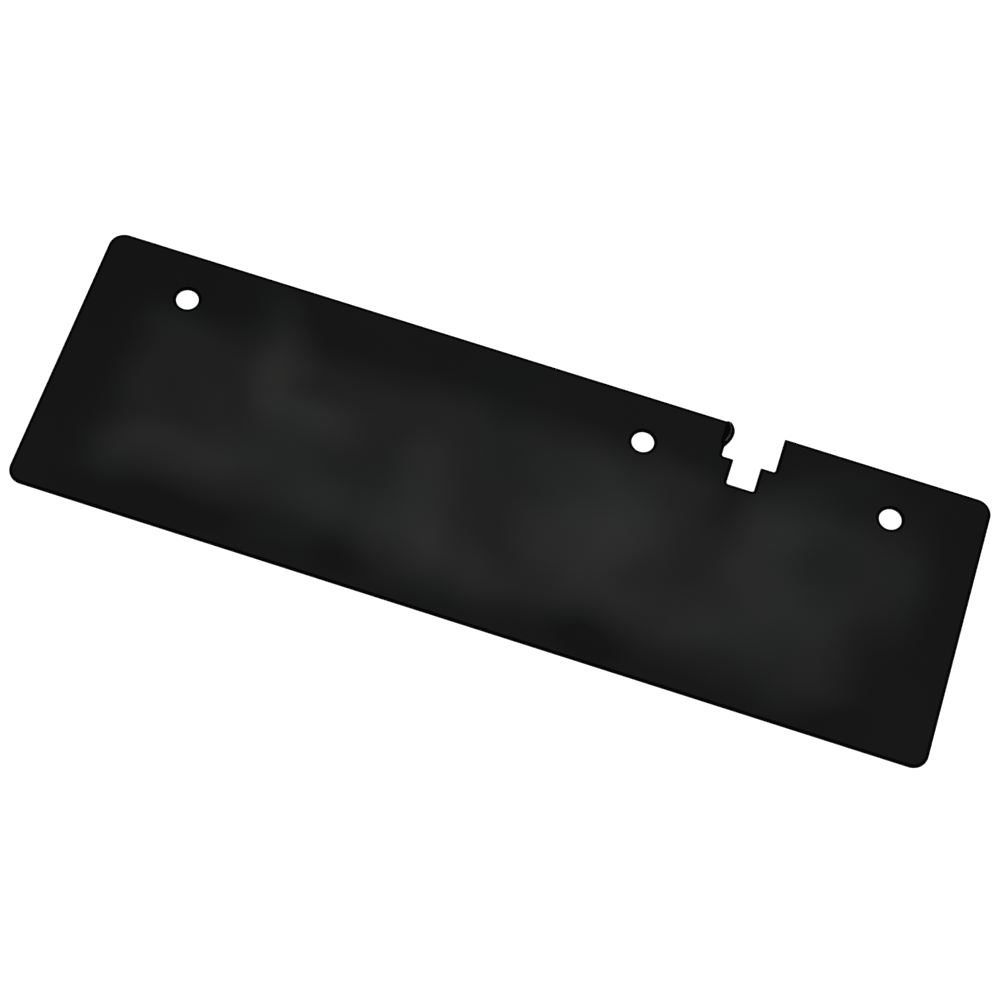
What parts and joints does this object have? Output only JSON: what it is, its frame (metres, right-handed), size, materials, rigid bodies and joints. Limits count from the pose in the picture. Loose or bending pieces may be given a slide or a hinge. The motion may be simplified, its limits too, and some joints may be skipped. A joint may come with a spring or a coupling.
{
  "type": "kick plate",
  "caption": "Thin flat rectangular kick plate with rounded corners, round fixing holes along one long edge, and a stepped T-shaped notch in that edge with a small half-round lip.",
  "frame": {"origin": "middle of the plate's length and height, on its back face", "axes": "+X along the length, +Y across the height towards the notched edge, +Z out of the front face"},
  "size_m": [0.635, 0.2032, 0.0025],
  "materials": {
    "black_coated_sheet": "satin black powder coat with a faint orange-peel texture",
    "black_moulding": "smooth moulded black, slightly shinier on its crest"
  },
  "bodies": {
    "root": {"plate": "black_coated_sheet", "notch_lip": "black_moulding"}
  },
  "joints": []
}
